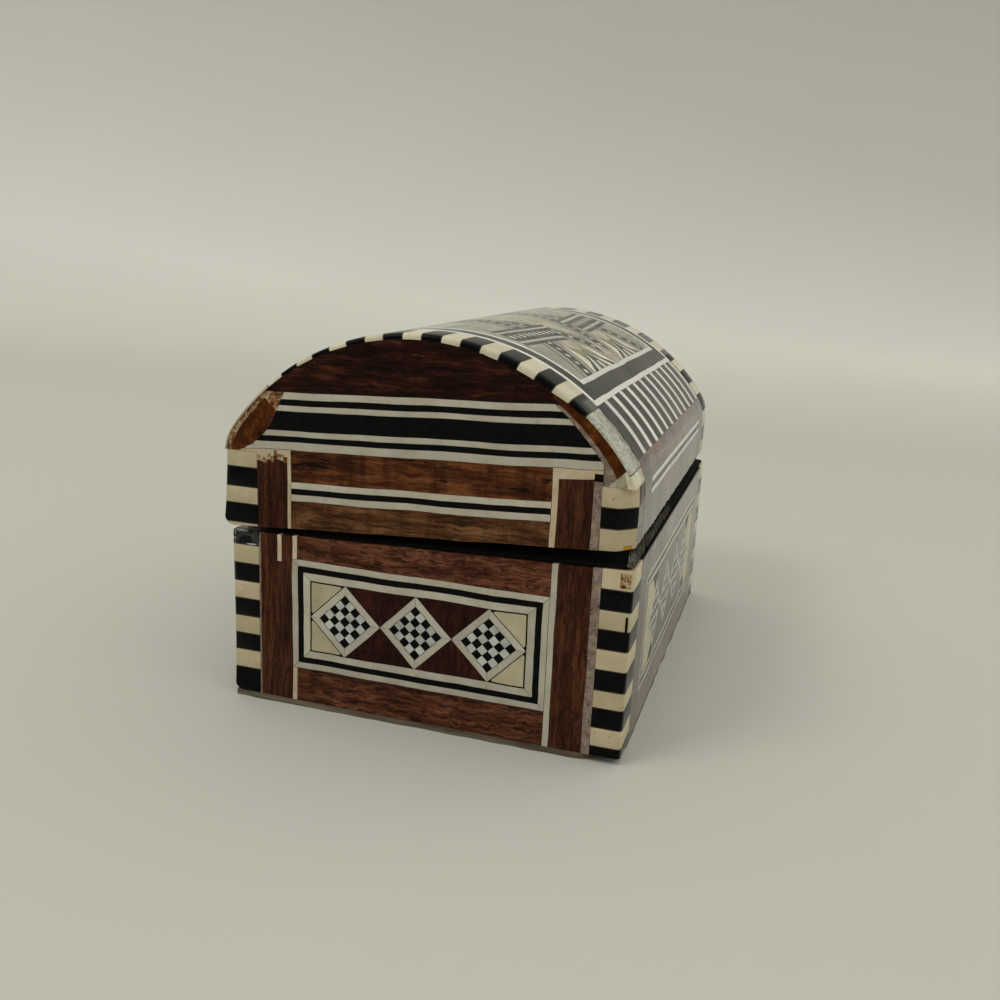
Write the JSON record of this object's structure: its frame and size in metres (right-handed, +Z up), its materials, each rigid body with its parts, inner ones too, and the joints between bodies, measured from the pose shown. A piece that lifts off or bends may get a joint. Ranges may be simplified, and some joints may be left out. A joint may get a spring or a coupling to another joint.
{
  "type": "inlaid jewelry box",
  "caption": "Small domed wooden jewelry box with a hinged lid, marquetry panels, block-inlaid corner posts and a velvet lining.",
  "frame": {"origin": "on the table, under the middle of the base", "axes": "+X along the length, towards the right-hand end; -Y towards the front, +Y towards the hinges; +Z up"},
  "size_m": [0.088, 0.0675, 0.0629],
  "materials": {
    "plywood": "raw edge",
    "carcass_wood": "raw",
    "rosewood_veneer": "gloss lacquer",
    "walnut_veneer": "gloss lacquer",
    "block_inlay": "gloss lacquer",
    "stringing": "gloss lacquer",
    "panel_inlay": "gloss lacquer",
    "mosaic_inlay": "gloss lacquer",
    "reeding_inlay": "gloss lacquer",
    "ebony_inlay": "gloss lacquer",
    "filler": "satin",
    "velvet": "matte pile",
    "brass": "satin"
  },
  "bodies": {
    "base": {"base_back_board": "carcass_wood", "base_back_panel": "panel_inlay", "base_back_ring": "stringing", "base_back_surround": "rosewood_veneer", "base_floor_board": "plywood", "base_front_board": "carcass_wood", "base_front_panel": "panel_inlay", "base_front_ring": "stringing", "base_front_surround": "rosewood_veneer", "base_left_board": "carcass_wood", "base_left_panel": "panel_inlay", "base_left_ring": "stringing", "base_left_surround": "rosewood_veneer", "base_liner": "velvet", "base_post_back_left": "block_inlay", "base_post_back_right": "block_inlay", "base_post_front_left": "block_inlay", "base_post_front_right": "block_inlay", "base_right_board": "carcass_wood", "base_right_panel": "panel_inlay", "base_right_ring": "stringing", "base_right_surround": "rosewood_veneer", "hinge_left_base_leaf": "brass", "hinge_left_pin": "brass", "hinge_right_base_leaf": "brass", "hinge_right_pin": "brass"},
    "lid": {"hinge_left_lid_leaf": "brass", "hinge_right_lid_leaf": "brass", "lid_back_board": "carcass_wood", "lid_back_ebony_band": "ebony_inlay", "lid_back_reeding": "reeding_inlay", "lid_back_skirt": "rosewood_veneer", "lid_front_board": "carcass_wood", "lid_front_ebony_band": "ebony_inlay", "lid_front_reeding": "reeding_inlay", "lid_front_skirt": "rosewood_veneer", "lid_left_arch_stringing": "stringing", "lid_left_bands": "stringing", "lid_left_edging": "block_inlay", "lid_left_filler_back": "filler", "lid_left_filler_front": "filler", "lid_left_gable": "carcass_wood", "lid_left_lunette": "walnut_veneer", "lid_left_skirt": "rosewood_veneer", "lid_liner": "velvet", "lid_post_back_left": "block_inlay", "lid_post_back_right": "block_inlay", "lid_post_front_left": "block_inlay", "lid_post_front_right": "block_inlay", "lid_right_arch_stringing": "stringing", "lid_right_bands": "stringing", "lid_right_edging": "block_inlay", "lid_right_filler_back": "filler", "lid_right_filler_front": "filler", "lid_right_gable": "carcass_wood", "lid_right_lunette": "walnut_veneer", "lid_right_skirt": "rosewood_veneer", "lid_vault_board": "carcass_wood", "lid_vault_mosaic": "mosaic_inlay"}
  },
  "joints": [
    {"name": "lid_hinge", "type": "hinge", "parent": "base", "child": "lid", "pos_m": [0, 0.0336, 0.0294], "axis": [-1, 0, 0], "range_deg": [0, 100]}
  ]
}
